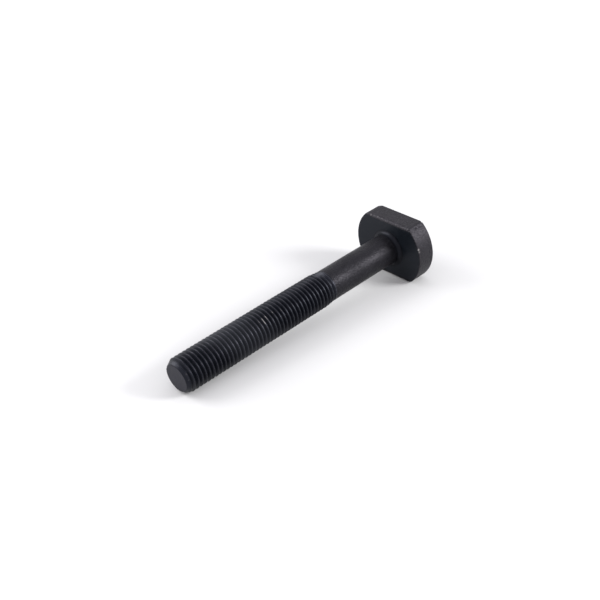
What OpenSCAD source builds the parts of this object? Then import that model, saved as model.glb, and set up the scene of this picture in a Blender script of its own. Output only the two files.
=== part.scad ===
// T-head bolt: a round head with two flats, a reduced shank and a metric coarse thread.
// The frame: the shank's axis is X, the thread's end points along +X, the bearing face
// under the head is the plane X = 0, and the head's two flats face +Z and -Z.
// The bolt is one forging; the nodes are its sections, which meet face to face.

/* [Thread] */
// Major diameter of the thread
thread_d = 16; // [15.8:0.1:16.4]
// Distance from one crest to the next
pitch = 2; // [1.75:0.25:2]
// Length from the bearing face to the end of the bolt
length = 125.5; // [110:0.5:140]
// Length of the chamfered point
point_l = 3; // [2.5:0.25:4]
// Diameter of the flat end of the point
point_d = 12.3; // [11:0.1:13]
// Slant of the end face in degrees: it is cut back on the +Y side
end_slant = 2.5; // [0:0.5:3]
// Where the middle of the groove crosses the +Y side, beyond a whole number of turns
groove_start = 0.9; // [0:0.1:1.9]

/* [Shank] */
// Diameter of the plain shank, which is about the thread's pitch diameter
shank_d = 14.75; // [14.4:0.05:15]
// Length from the bearing face to the start of the thread run-out
plain_l = 41.5; // [35:0.5:50]
// Length over which the thread's crests rise from the shank to full height
runout_l = 5.5; // [4:0.5:8]
// Radius of the fillet where the shank meets the head
neck_r = 2; // [1:0.25:3]
// Depth to which the neck's section reaches into the head, which leaves the bearing face a ring
neck_root = 2; // [1:0.5:5]

/* [Head] */
// Diameter of the round sides of the head
head_d = 39; // [36:0.5:42]
// Distance between the two flats
across_flats = 29.5; // [27:0.5:31]
// Thickness of the head
head_h = 10; // [8:0.5:12]
// Radius of the upright corners between a flat and a round side
corner_r = 3; // [2:0.25:6]
// Radius of the edges at the back of the head
back_r = 1; // [0.5:0.1:2]
// Radius of the edges where the flats meet the bearing face
lip_r = 1.5; // [0.5:0.1:1.8]
// Radius of the edges where the round sides meet the bearing face
rim_r = 0.4; // [0.2:0.1:0.8]

/* [Hidden] */
black_oxide = [0.19, 0.19, 0.21];
worn_oxide = [0.25, 0.25, 0.27];

head_r = head_d / 2;
half_flats = across_flats / 2;
shank_r = shank_d / 2;
major_r = thread_d / 2;
point_r = point_d / 2;
// the ISO metric profile: a 60 degree groove that is 17/24 of the sharp height deep
sharp_h = pitch * sqrt(3) / 2;
root_r = major_r - 17 / 24 * sharp_h;
flank_angle = 30;
crest_flat = pitch / 8;
// the groove's cutting shape stands this far out of the crests
over = 0.2;
turn_steps = 24;

thread_start = plain_l + runout_l;
thread_end = length - point_l;

// centre of a corner's round, in the outline's own plane
corner_x = sqrt(pow(head_r - corner_r, 2) - pow(half_flats - corner_r, 2));
corner_y = half_flats - corner_r;
sharp_corner_x = sqrt(pow(head_r, 2) - pow(half_flats, 2));

// Turns a shape built up along Z so that it runs along +X, with its own Y on Z
module along_x() {
    rotate([90, 0, 90]) children();
}

// What a corner's round cuts away from the head, seen along the axis
module corner_waste() {
    tangent = head_r / (head_r - corner_r);
    beyond = 1.2;
    difference() {
        polygon([[corner_x, corner_y],
                 [corner_x * tangent * beyond, corner_y * tangent * beyond],
                 [sharp_corner_x * beyond, half_flats * beyond],
                 [corner_x, half_flats * beyond]]);
        translate([corner_x, corner_y]) circle(r = corner_r, $fn = 96);
    }
}

// Half of the head's section from z = -head_h to 0, out to the given reach: its edges
// are rounded by back_r at the back and by front_r at the bearing face
module edge_section(reach, front_r) {
    translate([0, -head_h + back_r]) square([reach, head_h - back_r - front_r]);
    translate([0, -head_h]) square([reach - back_r, head_h]);
    translate([0, -front_r]) square([reach - front_r, front_r]);
    translate([reach - back_r, -head_h + back_r]) circle(r = back_r, $fn = 48);
    translate([reach - front_r, -front_r]) circle(r = front_r, $fn = 48);
}

module head() {
    color(worn_oxide)
        along_x()
            difference() {
                intersection() {
                    rotate_extrude($fn = 180) right_half() edge_section(head_r, rim_r);
                    rotate([90, 0, 90])
                        translate([0, 0, -head_d])
                            linear_extrude(2 * head_d)
                                for (side = [0, 1])
                                    mirror([side, 0]) edge_section(half_flats, lip_r);
                }
                for (mx = [0, 1], my = [0, 1])
                    mirror([mx, 0, 0])
                        mirror([0, my, 0])
                            translate([0, 0, -2 * head_h]) linear_extrude(3 * head_h) corner_waste();
                translate([0, 0, -neck_root]) cylinder(r = shank_r + neck_r, h = head_h, $fn = 96);
            }
}

// Keeps what lies on the positive side of the axis of a rotate_extrude
module right_half() {
    intersection() {
        children();
        translate([0, -head_d]) square([head_d, 2 * head_d]);
    }
}

module neck() {
    color(black_oxide)
        along_x()
            rotate_extrude($fn = 96)
                difference() {
                    translate([0, -neck_root]) square([shank_r + neck_r, neck_root + neck_r]);
                    translate([shank_r + neck_r, neck_r]) circle(r = neck_r, $fn = 96);
                }
}

module shank() {
    color(black_oxide)
        along_x()
            translate([0, 0, neck_r])
                cylinder(r = shank_r, h = plain_l - neck_r, $fn = 96);
}

// Half the groove's width at radius r
function half_width(r) = (pitch - crest_flat) / 2 - (major_r - r) * tan(flank_angle);

// The groove's section, carried round the axis to step i of a right-hand helix
function groove_ring(i) =
    let (turn = i / turn_steps, out_r = major_r + over)
    [for (corner = [[root_r, -1], [out_r, -1], [out_r, 1], [root_r, 1]])
        [corner[0] * cos(360 * turn), corner[0] * sin(360 * turn),
         groove_start + turn * pitch + corner[1] * half_width(corner[0])]];

// The helical groove, long enough to cut everything from z0 to z1
module groove(z0, z1) {
    first = floor(((z0 - groove_start) / pitch - 1) * turn_steps);
    last = ceil(((z1 - groove_start) / pitch + 1) * turn_steps);
    count = last - first;
    points = [for (i = [first : last]) each groove_ring(i)];
    sides = [for (i = [0 : count - 1], j = [0 : 3])
        let (a = 4 * i + j, b = 4 * i + (j + 1) % 4)
        each [[a, b, b + 4], [a, b + 4, a + 4]]];
    caps = [[3, 2, 1, 0], [for (j = [0 : 3]) 4 * count + j]];
    polyhedron(points, concat(sides, caps), convexity = 10);
}

// A round blank from z0 to z1, from radius r0 to r1, with the thread cut into it
module threaded(z0, z1, r0, r1) {
    color(black_oxide)
        along_x()
            difference() {
                translate([0, 0, z0]) cylinder(r1 = r0, r2 = r1, h = z1 - z0, $fn = 96);
                groove(z0, z1);
            }
}

module thread_runout() {
    threaded(plain_l, thread_start, shank_r, major_r);
}

module thread() {
    threaded(thread_start, thread_end, major_r, major_r);
}

// What the slanted end face cuts away beyond the point
module end_waste() {
    translate([length, -point_r, 0])
        rotate([0, 0, end_slant])
            translate([0, -thread_d, -thread_d]) cube([point_l, 3 * thread_d, 2 * thread_d]);
}

module point() {
    color(black_oxide)
        difference() {
            threaded(thread_end, length, major_r, point_r);
            end_waste();
        }
}

head();
neck();
shank();
thread_runout();
thread();
point();
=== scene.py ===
import math

import bmesh
import bpy
from mathutils import Matrix, Vector, noise


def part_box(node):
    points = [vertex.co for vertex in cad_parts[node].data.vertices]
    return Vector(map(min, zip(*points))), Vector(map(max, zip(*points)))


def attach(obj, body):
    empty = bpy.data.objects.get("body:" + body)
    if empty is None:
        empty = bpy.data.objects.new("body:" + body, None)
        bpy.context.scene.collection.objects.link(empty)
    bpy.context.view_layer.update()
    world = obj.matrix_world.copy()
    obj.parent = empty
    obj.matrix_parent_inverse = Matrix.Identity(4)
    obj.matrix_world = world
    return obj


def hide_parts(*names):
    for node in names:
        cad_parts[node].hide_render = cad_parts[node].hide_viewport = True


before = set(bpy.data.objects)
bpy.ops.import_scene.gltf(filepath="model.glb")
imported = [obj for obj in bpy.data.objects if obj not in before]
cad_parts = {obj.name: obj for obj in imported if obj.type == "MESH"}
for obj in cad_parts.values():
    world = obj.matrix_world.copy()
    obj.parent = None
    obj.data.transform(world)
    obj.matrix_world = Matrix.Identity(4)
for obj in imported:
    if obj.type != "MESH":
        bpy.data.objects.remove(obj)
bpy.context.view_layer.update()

# A T-head bolt in black oxide steel. Every section of the forging is a closed mesh that stands
# for the CAD node of the same section. The shank's axis is X, and the tip points along +X.

MM = 0.001

# Sizes that the frame gives
head_low, head_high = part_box("head")
neck_low, neck_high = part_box("neck")
shank_low, shank_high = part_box("shank")
thread_low, thread_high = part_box("thread")
tip_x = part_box("point")[1].x
head_r = head_high.y
half_flats = head_high.z
neck_r = neck_high.y
shank_r = shank_high.y
major_r = thread_high.y
runout_x = shank_high.x
thread_x = thread_low.x
point_x = thread_high.x

# Sizes of the edges, which the frame's boxes don't hold
BACK_EDGE_R = 1 * MM
LIP_R = 1.5 * MM
RIM_R = 0.3 * MM
TIP_R = 6.15 * MM
TIP_EDGE = 0.3 * MM
END_SLANT = math.radians(2.5)
# The head's corners aren't quite alike. Seen from the tip with +Z up they are: +Y above, -Y
# above, -Y below, +Y below
CORNER_RADII = [r * MM for r in (2, 4, 4, 5)]

# The ISO metric profile
PITCH = 2 * MM
GROOVE_START = 0.9 * MM
CREST_HALF = PITCH / 16
THREAD_DEPTH = 0.6134 * PITCH
ROOT_R = 0.1443 * PITCH
CREST_EDGE = 0.06 * MM
ROOT_FADE = 0.6 * MM
FLANK = math.radians(30)

# The head's forged skin has broad waves and small pits
WAVE_DEPTH, WAVE_SIZE = 0.025 * MM, 5 * MM
PIT_DEPTH, PIT_SIZE = 0.012 * MM, 0.8 * MM
# The crests have small nicks, laid out on a cylinder of the crests' own radius
NICK_DEPTH, NICK_SIZE = 0.02 * MM, 1.3 * MM
NICK_R = 8 * MM
# Dents in the head: centre, radius and depth in millimetres
DENTS = [((-0.1, 13.1, 14.1), 0.8, 1.1), ((-4.0, 13.7, 13.8), 0.7, 0.35),
         ((-6.5, 13.8, 13.7), 0.7, 0.35), ((-0.4, 1.0, 14.3), 0.6, 0.15),
         ((-0.4, -9.0, 14.3), 0.7, 0.15), ((-0.2, 19.2, -3.0), 0.6, 0.12)]
# Places on the head where the finish is rubbed through: centre and radius in millimetres, and
# how far it is rubbed
HEAD_RUBS = [((-0.4, 18.6, 5.8), 0.9, 0.75), ((-0.5, 18.9, 4.6), 0.9, 0.6),
             ((-3.0, 18.2, 7.0), 0.4, 0.5), ((-0.4, 12.0, 14.3), 0.4, 0.6),
             ((-0.4, 9.5, 14.3), 0.8, 0.35), ((-0.3, 5.0, 14.2), 0.8, 0.3),
             ((-0.2, -1.2, 14.0), 0.5, 0.6), ((-0.4, -3.4, 14.3), 0.5, 0.6),
             ((-0.5, -6.2, 14.3), 0.7, 0.5), ((-0.6, -8.0, 14.4), 0.5, 0.5),
             ((-0.3, -10.3, 14.1), 0.7, 0.55), ((-8.6, -6.2, 14.7), 0.5, 0.3),
             ((-9.1, 3.6, 14.7), 0.4, 0.35)]
# Places on the thread where a crest is rubbed bright: along the axis in millimetres, round it in
# degrees from +Y, and how bright
CREST_RUBS = [(84.0, 57, 0.5), (82.0, 56, 1.0), (82.0, 47, 1.0), (80.0, 58, 1.0), (80.0, 51, 0.6),
              (78.0, 59, 0.3), (76.5, 59, 0.6), (72.5, 50, 0.6), (84.2, 88, 0.3), (76.0, 26, 0.3),
              (88.0, 50, 0.3), (66.3, 47, 0.3)]
# Places on the point where the chamfer is rubbed, told in the same way
POINT_RUBS = [(124.7, 92, 0.3), (124.2, 76, 0.35), (124.9, 108, 0.3), (123.7, 36, 0.35),
              (124.0, 17, 0.3)]
# How smooth the oily grooves are, and how dull the point's chamfer is
GROOVE_GLOSS = 0.55
POINT_DULLNESS = 0.6
# How far a rub reaches round the axis and along it
CREST_RUB_SIZE = (1.2 * MM, 0.55 * MM)
POINT_RUB_SIZE = (0.9 * MM, 0.5 * MM)
# Bands where the shank has been handled: middle and reach in millimetres, and how smooth it is
BURNISHED_BANDS = [(17.0, 6.0, 0.8), (35.5, 5.5, 0.55)]
# The painted sheen on the thread, a lighter, greyer band that stands in for a broad highlight:
# where its middle is, how far it leans to either side, the way it leans, and how far it reaches
# towards the tip and towards the head
SHEEN_MIDDLE = 94 * MM
SHEEN_LEAN = 7 * MM
SHEEN_WAY = 0.35
SHEEN_REACH = (14 * MM, 22 * MM)

# How far the bearing face and the slanted end face reach along the axis
BEARING_FACE_DEPTH = 0.02 * MM
END_FACE_DEPTH = 0.7 * MM

# How finely the meshes are divided
HEAD_STEP = 0.3 * MM
THREAD_STEPS = 96
END_STEPS = 192
ROUND_STEPS = 192
SHARP = math.radians(40)


def smooth(t):
    """Eases from 0 to 1 as t goes from 0 to 1, and stays level beyond."""
    t = min(max(t, 0.0), 1.0)
    return t * t * (3 - 2 * t)


def lump(point, size, seed):
    """Smooth noise from -1 to 1 whose lumps are about size metres across."""
    return noise.noise(Vector(point) / size + Vector((seed, 2 * seed, 3 * seed)))


# ---------------------------------------------------------------- mesh building

def finish_mesh(name, bm, **layers):
    """Makes an object from a closed bmesh, with an attribute for each function of a place."""
    bmesh.ops.recalc_face_normals(bm, faces=bm.faces)
    for edge in bm.edges:
        edge.smooth = edge.calc_face_angle(0.0) < SHARP
    for face in bm.faces:
        face.smooth = True
    mesh = bpy.data.meshes.new(name)
    bm.to_mesh(mesh)
    bm.free()
    for layer_name, value_at in layers.items():
        layer = mesh.attributes.new(layer_name, "FLOAT", "POINT")
        layer.data.foreach_set("value", [value_at(v.co) for v in mesh.vertices])
    piece = bpy.data.objects.new(name, mesh)
    bpy.context.scene.collection.objects.link(piece)
    return piece


def add_rings(bm, rings, first=None):
    """Joins closed rings of points with quads, starting from existing vertices if given."""
    last = first
    for ring in rings:
        verts = [bm.verts.new(p) for p in ring]
        if last:
            count = len(verts)
            for i in range(count):
                j = (i + 1) % count
                bm.faces.new((last[i], last[j], verts[j], verts[i]))
        last = verts
    return last


def close_ring(bm, ring, centre):
    """Closes a ring with a fan of triangles round a centre point."""
    hub = bm.verts.new(centre)
    for i, vert in enumerate(ring):
        bm.faces.new((vert, ring[(i + 1) % len(ring)], hub))


def round_ring(x, r, steps=ROUND_STEPS):
    turns = [2 * math.pi * i / steps for i in range(steps)]
    return [(x, r * math.cos(a), r * math.sin(a)) for a in turns]


def turned_piece(name, profile, **layers):
    """A closed solid of revolution about X, from its (x, r) profile."""
    bm = bmesh.new()
    rings = [round_ring(x, r) for x, r in profile]
    last = add_rings(bm, rings)
    bm.verts.ensure_lookup_table()
    close_ring(bm, bm.verts[:ROUND_STEPS], (profile[0][0], 0, 0))
    close_ring(bm, last, (profile[-1][0], 0, 0))
    return finish_mesh(name, bm, **layers)


# ---------------------------------------------------------------- head

def arc(centre, r, start, end, count):
    """Points, outward normals and angles along an arc, without its last point."""
    out = []
    for i in range(count):
        a = start + (end - start) * i / count
        normal = Vector((math.cos(a), math.sin(a)))
        out.append((Vector(centre) + r * normal, normal, a))
    return out


def corner_place(r):
    """Where the round of a corner of radius r is centred, and the angle at which it starts."""
    z = half_flats - r
    y = math.sqrt((head_r - r) ** 2 - z ** 2)
    return y, z, math.atan2(z, y)


def half_outline(before, first, second):
    """The outline from the round side at +Y over the upper flat, for three corner radii in turn."""
    up = math.pi / 2
    corner_count = 10
    start = -corner_place(before)[2]
    first_y, first_z, first_turn = corner_place(first)
    second_y, second_z, second_turn = corner_place(second)
    side_count = round((first_turn - start) * head_r / HEAD_STEP)
    flat_count = round((first_y + second_y) / HEAD_STEP)
    half = []
    for point, normal, _ in arc((0, 0), head_r, start, first_turn, side_count):
        half.append((point, normal, 0.0))
    for point, normal, a in arc((first_y, first_z), first, first_turn, up, corner_count):
        half.append((point, normal, smooth((a - first_turn) / (up - first_turn))))
    for i in range(flat_count):
        y = first_y - (first_y + second_y) * i / flat_count
        half.append((Vector((y, half_flats)), Vector((0, 1)), 1.0))
    corner_end = math.pi - second_turn
    for point, normal, a in arc((-second_y, second_z), second, up, corner_end, corner_count):
        half.append((point, normal, smooth((corner_end - a) / (up - second_turn))))
    return half


def head_outline():
    """The head's outline in (y, z): for each point its place, outward normal and share of flat."""
    right_top, left_top, left_bottom, right_bottom = CORNER_RADII
    upper = half_outline(right_bottom, right_top, left_top)
    lower = half_outline(left_top, left_bottom, right_bottom)
    return upper + [(-point, -normal, flat) for point, normal, flat in lower]


def head_profile(flat):
    """(x, inset) steps from the back face round the edges to the bearing face, for a share of flat.

    The front edge is rounder on the flats, and the back edge is rounder at the corners."""
    turns = 8
    quarter = [math.pi / 2 * i / turns for i in range(turns + 1)]
    front_r = LIP_R * flat + RIM_R * (1 - flat)
    back_r = BACK_EDGE_R * (1 + 3 * flat * (1 - flat))
    steps = [(head_low.x + back_r * (1 - math.cos(a)), back_r * (1 - math.sin(a))) for a in quarter]
    wall = head_high.x - front_r - head_low.x - back_r
    rows = 28
    for i in range(1, rows):
        steps.append((head_low.x + back_r + wall * i / rows, 0.0))
    for a in quarter:
        steps.append((head_high.x - front_r * (1 - math.sin(a)), front_r * (1 - math.cos(a))))
    return steps


def forged(point, normal):
    """Moves a point of the head inwards by the unevenness of its forged skin, and by dents."""
    waves = WAVE_DEPTH * (1 + lump(point, WAVE_SIZE, 3))
    pits = PIT_DEPTH * (1 + lump(point, PIT_SIZE, 5))
    dip = waves + pits
    for centre, radius, depth in DENTS:
        distance = (Vector(point) / MM - Vector(centre)).length / radius
        dip += depth * MM * smooth(1 - distance)
    return Vector(point) - Vector(normal) * dip


def rubbed(co, places):
    """How far the finish is rubbed through at a place on the head, from 0 to 1."""
    return max(strength * smooth(1.5 - 1.5 * (co / MM - Vector(centre)).length / radius)
               for centre, radius, strength in places)


def head_forging():
    outline = head_outline()
    profiles = [head_profile(flat) for _, _, flat in outline]
    rings = []
    for row in range(len(profiles[0])):
        ring = []
        for (p, n, flat), profile in zip(outline, profiles):
            x, inset = profile[row]
            q = p - n * inset
            ring.append(forged((x, q.x, q.y), (0, n.x, n.y)))
        rings.append(ring)
    back = []
    for share in (0.97, 0.93, 0.87, 0.8, 0.7, 0.6, 0.5, 0.4, 0.3, 0.2, 0.1):
        back.append([forged((head_low.x, p.y * share, p.z * share), (-1, 0, 0)) for p in rings[0]])
    back.reverse()
    face = []
    rows = 16
    for i in range(1, rows + 1):
        share = i / rows
        ring = []
        for p in rings[-1]:
            a = math.atan2(p.z, p.y)
            inner = Vector((head_high.x, neck_r * math.cos(a), neck_r * math.sin(a)))
            ring.append(p.lerp(inner, share))
        face.append(ring)
    socket = [[(neck_low.x, p.y, p.z) for p in face[-1]]]
    bm = bmesh.new()
    last = add_rings(bm, back + rings + face + socket)
    bm.verts.ensure_lookup_table()
    close_ring(bm, bm.verts[:len(outline)], (head_low.x, 0, 0))
    close_ring(bm, last, (neck_low.x, 0, 0))

    def wear(co):
        """1 on the rounded edges, 0 on the faces."""
        across = max(abs(co.z) / half_flats, math.hypot(co.y, co.z) / head_r)
        lip = smooth((abs(co.z) - half_flats + LIP_R) / (0.5 * LIP_R))
        near_front = smooth((co.x - head_high.x + LIP_R) / (0.7 * LIP_R)) * lip
        near_back = smooth((head_low.x + 1.4 * BACK_EDGE_R - co.x) / BACK_EDGE_R)
        return max(near_front, near_back * smooth((across - 0.9) / 0.06))

    return finish_mesh("head_forging", bm, wear=wear, bare=lambda co: rubbed(co, HEAD_RUBS))


# ---------------------------------------------------------------- neck and shank

def neck_fillet():
    fillet = neck_high.x
    steps = 32
    profile = [(neck_low.x, neck_r), (0, neck_r)]
    for i in range(1, steps + 1):
        a = math.pi / 2 * i / steps
        profile.append((fillet * (1 - math.cos(a)), neck_r - fillet * math.sin(a)))
    return turned_piece("neck_fillet", profile)


def shank_bar():
    rows = 80
    length = runout_x - shank_low.x
    profile = [(shank_low.x + length * i / rows, shank_r) for i in range(rows + 1)]
    return turned_piece("shank_bar", profile, gloss=burnished)


def burnished(co):
    """How much smoother the shank is than elsewhere, from 0 to 1."""
    return max(gloss * smooth(1.3 - abs(co.x / MM - middle) / reach)
               for middle, reach, gloss in BURNISHED_BANDS)


# ---------------------------------------------------------------- thread

def half_profile():
    """(distance from the groove's centre, depth below the crest) over half a pitch."""
    points = []
    arc_steps = 3
    for i in range(arc_steps + 1):
        a = (math.pi / 2 - FLANK) * i / arc_steps
        points.append((ROOT_R * math.sin(a), THREAD_DEPTH - ROOT_R * (1 - math.cos(a))))
    edge_x = PITCH / 2 - CREST_HALF
    for depth in (0.6 * THREAD_DEPTH, 0.3 * THREAD_DEPTH, CREST_EDGE * math.cos(FLANK)):
        points.append((edge_x - depth * math.tan(FLANK), depth))
    points.append((edge_x, 0.2 * CREST_EDGE))
    points.append((edge_x + CREST_EDGE, 0.0))
    points.append((PITCH / 2, 0.0))
    return points


def full_profile():
    """The groove's whole profile as (phase, depth), from one groove's centre to the next."""
    half = half_profile()
    rising = [(x / PITCH, depth) for x, depth in half]
    falling = [(1 - x / PITCH, depth) for x, depth in half[1:-1]]
    return rising + falling[::-1]


def crest_radius(x):
    share = (x - runout_x) / (thread_x - runout_x)
    return shank_r + (major_r - shank_r) * min(max(share, 0.0), 1.0)


def root_radius(x):
    return shank_r + (major_r - THREAD_DEPTH - shank_r) * smooth((x - runout_x) / ROOT_FADE)


def point_radius(x):
    """The chamfered point's own outline, which cuts through the last turns. It goes on widening a
    little way before the point, so that it leaves the full thread whole."""
    share = (x - point_x) / (tip_x - point_x)
    return major_r + (TIP_R - major_r) * max(share, -0.2)


def thread_radius(x, a, depth):
    fullness = 1 - depth / THREAD_DEPTH
    place = (x, NICK_R * math.cos(a), NICK_R * math.sin(a))
    crest = crest_radius(x) - NICK_DEPTH * (1 + lump(place, NICK_SIZE, 7))
    root = root_radius(x)
    return min(root + (crest - root) * fullness, point_radius(x))


def helical_skin(bm, x0, x1, steps):
    """The thread's skin on a grid that follows the helix, reaching past x0 and x1."""
    profile = full_profile()
    count = len(profile)
    first = math.floor(((x0 - GROOVE_START) / PITCH - 2) * steps)
    last = math.ceil(((x1 - GROOVE_START) / PITCH + 1) * steps)
    rows = []
    for i in range(first, last + steps + 1):
        a = 2 * math.pi * i / steps
        row = []
        for phase, depth in profile:
            x = GROOVE_START + PITCH * (i / steps + phase)
            r = thread_radius(x, a, depth)
            row.append(bm.verts.new((x, r * math.cos(a), r * math.sin(a))))
        rows.append(row)
    for i in range(last - first):
        for j in range(count):
            if j + 1 < count:
                right, far_right = rows[i][j + 1], rows[i + 1][j + 1]
            else:
                right, far_right = rows[i + steps][0], rows[i + 1 + steps][0]
            if rows[i][j].co.x > x1 + PITCH or rows[i][j].co.x < x0 - PITCH:
                continue
            bm.faces.new((rows[i][j], right, far_right, rows[i + 1][j]))


def cut_at(bm, x, keep_above):
    """Cuts the skin with a plane across the axis and returns the new edge's vertices in order."""
    bmesh.ops.bisect_plane(
        bm, geom=bm.verts[:] + bm.edges[:] + bm.faces[:], dist=1e-9, plane_co=(x, 0, 0),
        plane_no=(1, 0, 0), clear_inner=keep_above, clear_outer=not keep_above)
    rim = [v for v in bm.verts
           if abs(v.co.x - x) < 1e-8 and any(e.is_boundary for e in v.link_edges)]
    return sorted(rim, key=lambda v: math.atan2(v.co.z, v.co.y))


def rubbed_round(co, places, length, width):
    """How far a place is rubbed, by rubs that reach length round the axis and width along it."""
    turn = math.atan2(co.z, co.y)
    most = 0.0
    for x, degrees, strength in places:
        apart = (turn - math.radians(degrees) + math.pi) % (2 * math.pi) - math.pi
        distance = math.hypot((co.x - x * MM) / width, apart * major_r / length)
        most = max(most, strength * smooth(1.3 - distance))
    return most


def threaded_piece(name, x0, x1, steps, end_profile=None):
    """A closed length of thread from x0 to x1. end_profile gives, for a direction round the axis,
    the (x, r) steps that lead on from x1 to the end face's middle."""
    bm = bmesh.new()
    helical_skin(bm, x0, x1, steps)
    start = cut_at(bm, x0, True)
    end = cut_at(bm, x1, False)
    loose = [v for v in bm.verts if not v.link_faces]
    bmesh.ops.delete(bm, geom=loose, context="VERTS")
    close_ring(bm, start, (x0, 0, 0))
    if end_profile:
        turns = [math.atan2(v.co.z, v.co.y) for v in end]
        profiles = [end_profile(a) for a in turns]
        rings = []
        for row in range(len(profiles[0])):
            ring = []
            for profile, a in zip(profiles, turns):
                x, r = profile[row]
                ring.append((x, r * math.cos(a), r * math.sin(a)))
            rings.append(ring)
        end = add_rings(bm, rings, first=end)
        x1 = end_middle()
    close_ring(bm, end, (x1, 0, 0))

    def wear(co):
        """1 on the crests, 0 in the grooves."""
        return smooth((math.hypot(co.y, co.z) - crest_radius(co.x) + 0.1 * MM) / (0.06 * MM))

    def bare(co):
        crest = wear(co) * rubbed_round(co, CREST_RUBS, *CREST_RUB_SIZE)
        return max(crest, rubbed_round(co, POINT_RUBS, *POINT_RUB_SIZE))

    def gloss(co):
        """The grooves are oily, the crests less so, and the point's chamfer is dull."""
        dull = POINT_DULLNESS * smooth((co.x - point_x) / (0.5 * MM))
        return GROOVE_GLOSS * (1 - wear(co)) - dull

    # The thread carries the band of painted sheen, a lighter patch that stands in for a highlight
    return finish_mesh(name, bm, wear=wear, bare=bare, dry=where_sheen_painted, gloss=gloss)


def where_sheen_painted(co):
    """How much painted highlight a place has: a lighter, greyer slanting band round the thread."""
    beyond = co.x - SHEEN_MIDDLE - SHEEN_LEAN * math.sin(math.atan2(co.z, co.y) - SHEEN_WAY)
    reach = SHEEN_REACH[0] if beyond > 0 else SHEEN_REACH[1]
    return smooth((reach - abs(beyond)) / (0.8 * reach))


def end_middle():
    """Where the slanted end face crosses the axis: its -Y side is the bolt's farthest point."""
    return tip_x - TIP_R * math.tan(END_SLANT)


def point_profile(a):
    """The last of the chamfer, its edge and the slanted end face, in direction a from the axis."""
    taper = (major_r - TIP_R) / (tip_x - point_x)
    lean = math.tan(END_SLANT) * math.cos(a)
    edge_r = (TIP_R + (tip_x - end_middle()) * taper) / (1 - lean * taper)
    edge = Vector((end_middle() - lean * edge_r, edge_r))
    before = edge - Vector((1, -taper)).normalized() * TIP_EDGE
    after = edge + Vector((lean, -1)).normalized() * TIP_EDGE
    turns = 6
    steps = []
    for i in range(turns + 1):
        t = i / turns
        steps.append(before * (1 - t) ** 2 + edge * 2 * t * (1 - t) + after * t ** 2)
    for share in (0.93, 0.85, 0.7, 0.55, 0.4, 0.25, 0.1):
        steps.append(Vector((end_middle() - lean * after.y * share, after.y * share)))
    return steps


# ---------------------------------------------------------------- materials

BARE_STEEL = (0.19, 0.18, 0.177)
# The painted sheen's colour: a lighter, greyer oxide that stands in for a broad highlight
SHEEN_GREY = (0.0175, 0.019, 0.0225)
# Tints of the oxide's gloss
WARM = (0.93, 0.89, 1.0)
COLD = (0.80, 0.82, 1.0)
BLUE = (0.77, 0.82, 1.0)
# How much the mottle changes the roughness, and how much less rough a place is where its gloss
# is 1
MOTTLE_SPREAD = 0.18
POLISH = 0.13


def new_material(name):
    material = bpy.data.materials.new(name)
    material.use_nodes = True
    return material, material.node_tree.nodes, material.node_tree.links


def noise_node(nodes, links, coordinates, scale, stretch=(1, 1, 1), detail=4.0, seed=0.0):
    """Noise in the object's own millimetres, with scale lumps per millimetre."""
    mapping = nodes.new("ShaderNodeMapping")
    mapping.inputs["Scale"].default_value = [s / MM for s in stretch]
    mapping.inputs["Location"].default_value = (seed, seed, seed)
    texture = nodes.new("ShaderNodeTexNoise")
    texture.inputs["Scale"].default_value = scale
    texture.inputs["Detail"].default_value = detail
    links.new(coordinates, mapping.inputs["Vector"])
    links.new(mapping.outputs["Vector"], texture.inputs["Vector"])
    return texture.outputs["Fac"]


def ramp_node(nodes, links, source, stops):
    """A colour ramp from (position, colour) stops, fed by source."""
    ramp = nodes.new("ShaderNodeValToRGB")
    elements = ramp.color_ramp.elements
    elements[0].position, elements[0].color = stops[0][0], (*stops[0][1], 1)
    elements[1].position, elements[1].color = stops[-1][0], (*stops[-1][1], 1)
    for place, colour in stops[1:-1]:
        elements.new(place).color = (*colour, 1)
    links.new(source, ramp.inputs["Fac"])
    return ramp.outputs["Color"]


def math_node(nodes, links, operation, a, b):
    node = nodes.new("ShaderNodeMath")
    node.operation = operation
    for socket, value in zip(node.inputs, (a, b)):
        if isinstance(value, (int, float)):
            socket.default_value = value
        else:
            links.new(value, socket)
    return node.outputs["Value"]


def mix_colour(nodes, links, factor, a, b):
    node = nodes.new("ShaderNodeMix")
    node.data_type = "RGBA"
    links.new(factor, node.inputs["Factor"])
    for socket, value in ((node.inputs["A"], a), (node.inputs["B"], b)):
        if isinstance(value, tuple):
            socket.default_value = (*value, 1)
        else:
            links.new(value, socket)
    return node.outputs["Result"]


def bump_node(nodes, links, height, depth, strength, below=None):
    bump = nodes.new("ShaderNodeBump")
    bump.inputs["Distance"].default_value = depth
    bump.inputs["Strength"].default_value = strength
    links.new(height, bump.inputs["Height"])
    if below:
        links.new(below, bump.inputs["Normal"])
    return bump.outputs["Normal"]


def attribute_node(nodes, name):
    node = nodes.new("ShaderNodeAttribute")
    node.attribute_name = name
    return node.outputs["Fac"]


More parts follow.
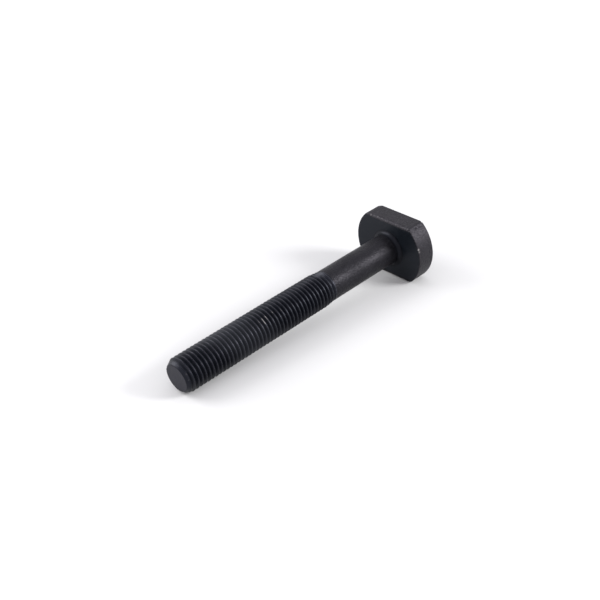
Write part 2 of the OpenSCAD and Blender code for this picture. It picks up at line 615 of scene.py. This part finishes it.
def oxide_material(name, dark, light, worn, roughness, shine, tint, grain, rings=0.0):
    """Black oxide on steel: mottled, slightly pitted, brighter where it is worn, bare where rubbed,
    and lighter and greyer where a highlight is painted on as sheen.

    dark, light and worn are its colours, roughness its mean roughness, and shine and tint the
    strength and colour of its gloss. grain is the depth of the fine pits, which also make it
    unevenly rough, and rings that of the marks round the axis, in metres."""
    material, nodes, links = new_material(name)
    shader = nodes["Principled BSDF"]
    coordinates = nodes.new("ShaderNodeTexCoord").outputs["Object"]
    wear, bare, dry, gloss = (attribute_node(nodes, layer)
                              for layer in ("wear", "bare", "dry", "gloss"))
    mottle = noise_node(nodes, links, coordinates, 0.3, detail=6.0)
    fine = noise_node(nodes, links, coordinates, 1.7, detail=0.5, seed=11.0)
    flecks = noise_node(nodes, links, coordinates, 0.8, seed=23.0)
    specks = noise_node(nodes, links, coordinates, 1.4, detail=0.5, seed=31.0)
    marks = noise_node(nodes, links, coordinates, 1.0, (6.0, 0.4, 0.4), detail=3.0, seed=5.0)

    colour = ramp_node(nodes, links, mottle, [(0.3, dark), (0.7, light)])
    # Lighter and greyer where the band of painted sheen stands in for a highlight
    colour = mix_colour(nodes, links, dry, colour, SHEEN_GREY)
    fleck = ramp_node(nodes, links, flecks, [(0.52, (0, 0, 0)), (0.7, (0.35, 0.35, 0.35))])
    colour = mix_colour(nodes, links, fleck, colour, worn)
    patch = ramp_node(nodes, links, fine, [(0.42, (0.1, 0.1, 0.1)), (0.62, (0.8, 0.8, 0.8))])
    worn_share = math_node(nodes, links, "MULTIPLY", wear, patch)
    colour = mix_colour(nodes, links, worn_share, colour, worn)
    ragged = math_node(nodes, links, "ADD", bare, math_node(nodes, links, "MULTIPLY", fine, 0.5))
    scrape = ramp_node(nodes, links, ragged, [(0.45, (0, 0, 0)), (1.0, (1, 1, 1))])
    scrape = math_node(nodes, links, "MULTIPLY", scrape, bare)
    colour = mix_colour(nodes, links, scrape, colour, BARE_STEEL)
    links.new(colour, shader.inputs["Base Color"])

    spread = math_node(nodes, links, "MULTIPLY", mottle, MOTTLE_SPREAD)
    speckle = math_node(nodes, links, "MULTIPLY", specks, 2 * grain / MM)
    uneven = math_node(nodes, links, "ADD", spread, speckle)
    matt = math_node(nodes, links, "ADD", uneven, roughness - MOTTLE_SPREAD / 2 - grain / MM)
    polish = math_node(nodes, links, "MULTIPLY", gloss, POLISH)
    links.new(math_node(nodes, links, "SUBTRACT", matt, polish), shader.inputs["Roughness"])
    shader.inputs["Specular IOR Level"].default_value = shine
    shader.inputs["Specular Tint"].default_value = (*tint, 1.0)

    normal = bump_node(nodes, links, fine, grain, 1.0)
    if rings:
        normal = bump_node(nodes, links, marks, rings, 1.0, normal)
    links.new(normal, shader.inputs["Normal"])
    return material


def floor_material():
    """A pale floor with painted light and shade: darker near the bolt as a painted shadow, and
    paler towards its far parts as painted light, where less light reaches it.
    """
    material, nodes, links = new_material("pale_floor")
    shader = nodes["Principled BSDF"]
    coordinates = nodes.new("ShaderNodeTexCoord").outputs["Object"]
    distance = nodes.new("ShaderNodeVectorMath")
    distance.operation = "LENGTH"
    links.new(coordinates, distance.inputs[0])
    # Painted shadow near the bolt, painted light far off
    stops = [(0.1, (0.47,) * 3), (0.5, (0.8,) * 3)]
    painted_light_and_shade = ramp_node(nodes, links, distance.outputs["Value"], stops)
    links.new(painted_light_and_shade, shader.inputs["Base Color"])
    shader.inputs["Roughness"].default_value = 0.9
    return material


# ---------------------------------------------------------------- assembly

def stand_in(piece, node, material):
    """Coats a piece and lets it stand for a CAD node."""
    piece.data.materials.append(material)
    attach(piece, "root")
    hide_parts(node)


def coat_end(piece, x, material):
    """Gives the flat face that looks along +X, and lies beyond x, its own material."""
    piece.data.materials.append(material)
    for polygon in piece.data.polygons:
        if polygon.normal.x > 0.998 and polygon.center.x > x:
            polygon.material_index = 1


forged_oxide = oxide_material(
    "forged_oxide", dark=(0.003, 0.0028, 0.004), light=(0.008, 0.0075, 0.0095),
    worn=(0.024, 0.023, 0.026), roughness=0.49, shine=0.22, tint=WARM, grain=0.17 * MM)
# The bearing face is smoother than the rest of the head, and its oxide is duller and bluer as
# painted shade on the face that looks towards the shank
faced_oxide_painted_shade = oxide_material(
    "faced_oxide_painted_shade", dark=(0.0037, 0.005, 0.007), light=(0.005, 0.0063, 0.0085),
    worn=(0.008, 0.008, 0.01), roughness=0.37, shine=0.185, tint=BLUE, grain=0.004 * MM)
shank_oxide = oxide_material(
    "shank_oxide", dark=(0.002, 0.002, 0.003), light=(0.005, 0.005, 0.0065),
    worn=(0.02, 0.02, 0.023), roughness=0.505, shine=0.17, tint=WARM, grain=0.17 * MM,
    rings=0.006 * MM)
thread_oxide = oxide_material(
    "thread_oxide", dark=(0.0022, 0.003, 0.0048), light=(0.004, 0.0049, 0.007),
    worn=(0.02, 0.02, 0.025), roughness=0.39, shine=0.19, tint=COLD, grain=0.008 * MM)
cropped_oxide = oxide_material(
    "cropped_oxide", dark=(0.003, 0.003, 0.0065), light=(0.008, 0.0078, 0.0135),
    worn=(0.02, 0.02, 0.025), roughness=0.35, shine=0.205, tint=COLD, grain=0.03 * MM)
# The neck's oxide is darker and bluer than the shank's: painted shade where the neck meets the head
neck_oxide_painted_shade = oxide_material(
    "neck_oxide_painted_shade", dark=(0.0015, 0.002, 0.003), light=(0.003, 0.0036, 0.005),
    worn=(0.01, 0.01, 0.012), roughness=0.37, shine=0.14, tint=COLD, grain=0.02 * MM)

head = head_forging()
stand_in(head, "head", forged_oxide)
coat_end(head, head_high.x - BEARING_FACE_DEPTH, faced_oxide_painted_shade)
stand_in(neck_fillet(), "neck", neck_oxide_painted_shade)
stand_in(shank_bar(), "shank", shank_oxide)
stand_in(threaded_piece("runout_thread", runout_x, thread_x, END_STEPS),
         "thread_runout", thread_oxide)
stand_in(threaded_piece("full_thread", thread_x, point_x, THREAD_STEPS),
         "thread", thread_oxide)
groove_end = point_x + (tip_x - point_x) * THREAD_DEPTH / (major_r - TIP_R)
point = threaded_piece("chamfered_point", point_x, groove_end, END_STEPS, point_profile)
stand_in(point, "point", thread_oxide)
coat_end(point, tip_x - END_FACE_DEPTH, cropped_oxide)


# ---------------------------------------------------------------- floor, light and camera

def lay_floor():
    """A pale floor on which the bolt lies, on the head's front edge and the thread's far end."""
    heel = Vector((head_high.x - LIP_R, 0, -half_flats))
    toe = Vector((point_x, 0, -major_r))
    tilt = math.atan2(toe.z - heel.z, toe.x - heel.x)
    size = 4.0
    bm = bmesh.new()
    bmesh.ops.create_grid(bm, x_segments=8, y_segments=8, size=size)
    mesh = bpy.data.meshes.new("floor")
    bm.to_mesh(mesh)
    bm.free()
    floor = bpy.data.objects.new("floor", mesh)
    bpy.context.scene.collection.objects.link(floor)
    floor.matrix_world = Matrix.Translation(heel) @ Matrix.Rotation(-tilt, 4, "Y")
    floor.data.materials.append(floor_material())


def soft_light(name, direction, size, power):
    """A square softbox that faces the middle of the bolt from a direction in the frame."""
    middle = Vector((tip_x / 2, 0, 0))
    distance = 0.6
    light = bpy.data.lights.new(name, "AREA")
    light.shape = "SQUARE"
    light.size = size
    light.energy = power
    lamp = bpy.data.objects.new(name, light)
    bpy.context.scene.collection.objects.link(lamp)
    toward = Vector(direction).normalized()
    turn = toward.to_track_quat("Z", "Y").to_matrix().to_4x4()
    lamp.matrix_world = Matrix.Translation(middle + toward * distance) @ turn
    lamp.visible_camera = False


def pale_surroundings(strength, horizon):
    """Surroundings of the given strength overhead, with that share of it at the horizon."""
    world = bpy.data.worlds.new("studio")
    bpy.context.scene.world = world
    world.use_nodes = True
    nodes, links = world.node_tree.nodes, world.node_tree.links
    direction = nodes.new("ShaderNodeSeparateXYZ")
    links.new(nodes.new("ShaderNodeTexCoord").outputs["Generated"], direction.inputs["Vector"])
    white = Vector((0.97, 0.96, 1))
    background = nodes["Background"]
    stops = [(0.0, white * horizon), (0.6, white)]
    links.new(ramp_node(nodes, links, direction.outputs["Z"], stops), background.inputs["Color"])
    background.inputs["Strength"].default_value = strength


def place_camera():
    """The camera: what it aims at, how far off it is, and the way it looks from."""
    aim = Vector((56.72, -0.50, 0.56)) * MM
    distance = 392.2 * MM
    azimuth, elevation, roll = (math.radians(a) for a in (140.05, 34.75, -6.10))
    back = Vector((math.sin(azimuth) * math.cos(elevation),
                   -math.cos(azimuth) * math.cos(elevation),
                   math.sin(elevation)))
    turn = back.to_track_quat("Z", "Y").to_matrix().to_4x4() @ Matrix.Rotation(roll, 4, "Z")
    data = bpy.data.cameras.new("camera")
    data.lens = 53.76
    data.sensor_width = 36.0
    data.clip_start = 0.01
    camera = bpy.data.objects.new("camera", data)
    bpy.context.scene.collection.objects.link(camera)
    camera.matrix_world = Matrix.Translation(aim + back * distance) @ turn
    bpy.context.scene.camera = camera


lay_floor()
pale_surroundings(strength=1.4, horizon=0.5)
soft_light("right_panel", direction=(-0.56, 0.70, 0.47), size=0.18, power=4.0)
soft_light("left_panel", direction=(0.45, -0.70, 0.55), size=0.4, power=3.4)
place_camera()
bpy.context.scene.view_settings.view_transform = "Standard"
